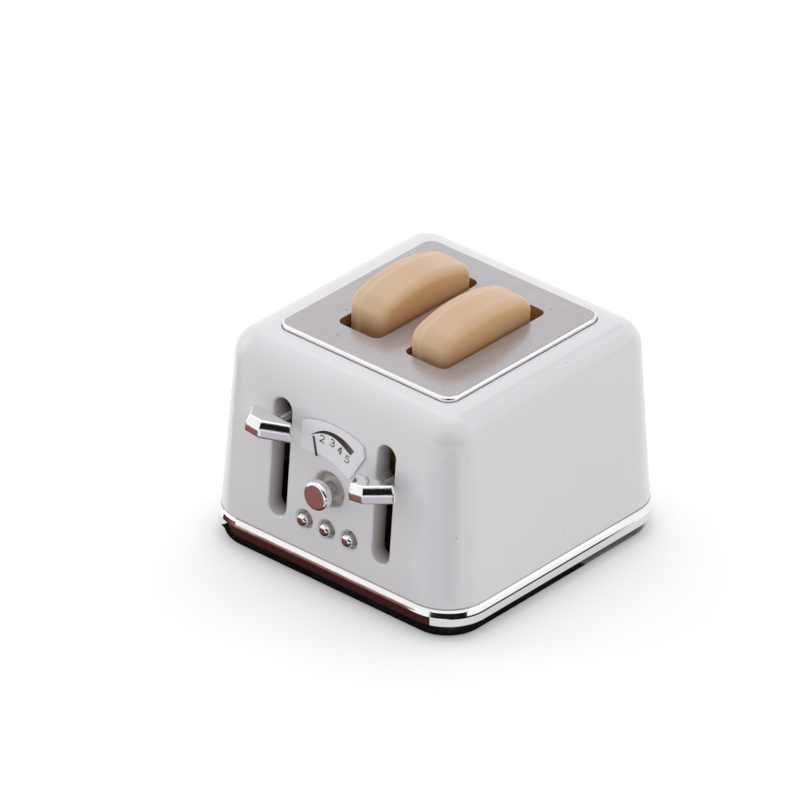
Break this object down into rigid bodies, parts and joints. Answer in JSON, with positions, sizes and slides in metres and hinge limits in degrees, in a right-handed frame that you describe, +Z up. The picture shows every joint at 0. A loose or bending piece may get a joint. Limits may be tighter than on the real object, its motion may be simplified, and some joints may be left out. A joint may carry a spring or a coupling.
{
  "type": "toy toaster",
  "caption": "Doll's-house two-slot toaster with lift-out toast slices, sliding front levers, turning dial knob and push buttons.",
  "frame": {"origin": "centre of the base's underside, where the toaster stands", "axes": "+Z up; the levers, dial and buttons are on the -Y side; +X is the viewer's right when facing them"},
  "size_m": [0.0296, 0.0318, 0.0247],
  "materials": {
    "shell_white": "glossy white moulded shell",
    "plate_steel": "satin, lightly scratched sheet with a bright edge",
    "chrome": "mirror",
    "base_black": "glossy",
    "guard_steel": "plain stamped sheet",
    "bar_grey": "plain moulded",
    "carriage_nylon": "plain moulded, dark",
    "rod_steel": "drawn rod and plated fasteners",
    "ring_rubber": "plain",
    "bread_tan": "waxy, slightly translucent soft resin",
    "dial_print": "satin white label with dark print"
  },
  "bodies": {
    "toaster": {"body_shell": "shell_white", "top_plate": "plate_steel", "left_inner_guard": "guard_steel", "left_outer_guard": "guard_steel", "right_inner_guard": "guard_steel", "right_outer_guard": "guard_steel", "front_end_plate": "guard_steel", "rear_end_plate": "guard_steel", "end_plate_screws": "rod_steel", "left_guide_rod": "rod_steel", "right_guide_rod": "rod_steel", "dial_label": "dial_print", "knob_washer": "carriage_nylon", "button_bar": "bar_grey", "bar_screws": "rod_steel", "trim_band": "chrome", "base_plate": "base_black", "base_screws": "rod_steel", "left_button_spring": "rod_steel", "centre_button_spring": "rod_steel", "right_button_spring": "rod_steel"},
    "left_lever": {"left_carriage": "carriage_nylon", "left_lever_handle": "chrome", "left_drag_ring": "ring_rubber"},
    "right_lever": {"right_carriage": "carriage_nylon", "right_lever_handle": "chrome", "right_drag_ring": "ring_rubber"},
    "left_slice": {"left_toast": "bread_tan"},
    "right_slice": {"right_toast": "bread_tan"},
    "knob": {"control_knob": "chrome", "knob_push_nut": "rod_steel"},
    "left_push": {"left_button": "chrome"},
    "centre_push": {"centre_button": "chrome"},
    "right_push": {"right_button": "chrome"}
  },
  "joints": [
    {"name": "left_lever_slide", "type": "slide", "parent": "toaster", "child": "left_lever", "axis": [0, 0, 1], "range_m": [-0.0089, 0.0006]},
    {"name": "right_lever_slide", "type": "slide", "parent": "toaster", "child": "right_lever", "axis": [0, 0, 1], "range_m": [-0.0071, 0.0024]},
    {"name": "left_slice_lift", "type": "slide", "parent": "left_lever", "child": "left_slice", "axis": [0, 0, 1], "range_m": [0, 0.0095]},
    {"name": "right_slice_lift", "type": "slide", "parent": "right_lever", "child": "right_slice", "axis": [0, 0, 1], "range_m": [-0.0016, 0.0095]},
    {"name": "knob_turn", "type": "hinge", "parent": "toaster", "child": "knob", "pos_m": [-0.0002, -0.01406, 0.00995], "axis": [0, -0.9974, 0.0718], "continuous": true},
    {"name": "left_button_press", "type": "slide", "parent": "toaster", "child": "left_push", "axis": [0, 0.9974, -0.0718], "range_m": [0, 0.00035], "stiffness_N_per_m": 100, "springref_m": -0.0005, "deforming": ["left_button_spring"]},
    {"name": "centre_button_press", "type": "slide", "parent": "toaster", "child": "centre_push", "axis": [0, 0.9974, -0.0718], "range_m": [0, 0.00035], "stiffness_N_per_m": 100, "springref_m": -0.0005, "deforming": ["centre_button_spring"]},
    {"name": "right_button_press", "type": "slide", "parent": "toaster", "child": "right_push", "axis": [0, 0.9974, -0.0718], "range_m": [0, 0.00035], "stiffness_N_per_m": 100, "springref_m": -0.0005, "deforming": ["right_button_spring"]}
  ]
}
